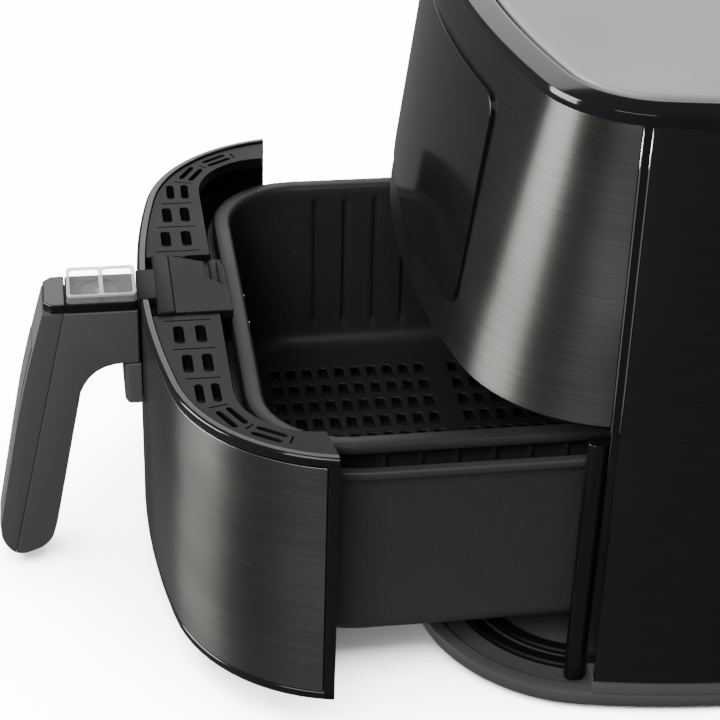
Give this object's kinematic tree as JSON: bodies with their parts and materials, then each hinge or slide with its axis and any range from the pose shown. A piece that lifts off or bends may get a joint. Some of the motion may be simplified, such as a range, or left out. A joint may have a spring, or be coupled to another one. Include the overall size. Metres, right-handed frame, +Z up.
{
  "type": "air fryer",
  "caption": "Rounded countertop air fryer: tall housing with a touch panel, and a bowed drawer with a perforated basket, a pan and a pistol handle.",
  "frame": {"origin": "centre of the housing's footprint, on the table", "axes": "+Z up, -Y the way the drawer pulls out, +X to the right of a person facing the front"},
  "size_m": [0.306, 0.4849, 0.2865],
  "materials": {
    "lid_grey": "fine satin texture",
    "black_steel": "dark brushed skin",
    "side_black": "dark brushed coating",
    "black_satin": "satin moulded",
    "black_gloss": "polished",
    "base_grey": "moulded",
    "grip_grey": "satin moulded",
    "nonstick": "speckled non-stick coating",
    "clear_guard": "clear smoked plastic",
    "foot_rubber": "matt",
    "sheet_steel": "galvanised",
    "bright_steel": "turned",
    "fan_alloy": "pressed",
    "board": "circuit board",
    "motor_steel": "lacquered",
    "heater_metal": "oxidised tube"
  },
  "bodies": {
    "housing": {"base_tray": "base_grey", "floor_ridge": "black_satin", "base_collar": "base_grey", "rubber_feet": "foot_rubber", "side_shell": "side_black", "steel_wrap": "black_steel", "wrap_backing": "black_satin", "seam_strips": "black_gloss", "mouth_lip": "black_gloss", "touch_panel": "black_gloss", "control_board": "board", "top_rim": "black_gloss", "lid_plate": "lid_grey", "lid_tray": "black_satin", "mouth_post_right": "black_satin", "mouth_post_left": "black_satin", "cavity_liner": "sheet_steel", "heater_hood": "sheet_steel", "heating_element": "heater_metal", "heater_guard": "bright_steel", "fan_motor": "motor_steel", "motor_bracket": "sheet_steel", "power_board": "board", "temperature_sensor": "bright_steel", "thermal_fuse": "bright_steel", "drawer_switch": "black_satin", "cord_inlet": "black_satin", "rear_grille": "black_satin", "exhaust_duct": "sheet_steel", "base_screws": "bright_steel", "motor_screws": "bright_steel"},
    "drawer": {"drawer_front": "black_gloss", "front_skin": "black_steel", "pan_brackets": "sheet_steel", "drawer_screws": "bright_steel", "vent_cover": "black_satin", "drawer_pan": "nonstick", "basket_shell": "nonstick", "basket_bumpers": "foot_rubber", "grip_strip": "black_satin", "handle_left_shell": "grip_grey", "handle_right_shell": "grip_grey", "grip_core": "black_satin", "handle_fairing": "grip_grey", "handle_bridge": "black_satin", "bridge_rivets": "bright_steel", "handle_cap": "black_gloss", "button_seat": "black_satin", "button_deck": "black_satin", "latch_pin": "bright_steel", "button_spring": "bright_steel"},
    "button": {"release_button": "grip_grey"},
    "latch": {"release_latch": "black_satin"},
    "guard": {"button_guard": "clear_guard"},
    "fan_rotor": {"convection_fan": "fan_alloy", "cooling_fan": "black_satin", "motor_shaft": "bright_steel", "fan_nut": "bright_steel"}
  },
  "joints": [
    {"name": "drawer_slide", "type": "slide", "parent": "housing", "child": "drawer", "axis": [0, -1, 0], "range_m": [-0.1115, 0.085]},
    {"name": "button_press", "type": "slide", "parent": "drawer", "child": "button", "axis": [0, 0, -1], "range_m": [0, 0.003], "stiffness_N_per_m": 400, "springref_m": -0.001, "deforming": ["button_spring"]},
    {"name": "latch_tip", "type": "hinge", "parent": "drawer", "child": "latch", "pos_m": [0, -0.271, 0.1195], "axis": [1, 0, 0], "range_deg": [0, 22]},
    {"name": "guard_slide", "type": "slide", "parent": "drawer", "child": "guard", "axis": [0, -1, 0], "range_m": [0, 0.016]},
    {"name": "fan_spin", "type": "hinge", "parent": "housing", "child": "fan_rotor", "pos_m": [0, 0.012, 0.16], "axis": [0, 0, 1], "continuous": true}
  ],
  "couplings": [
    {"joint": "latch_tip", "follows": "button_press", "rad_per_m": 90}
  ]
}
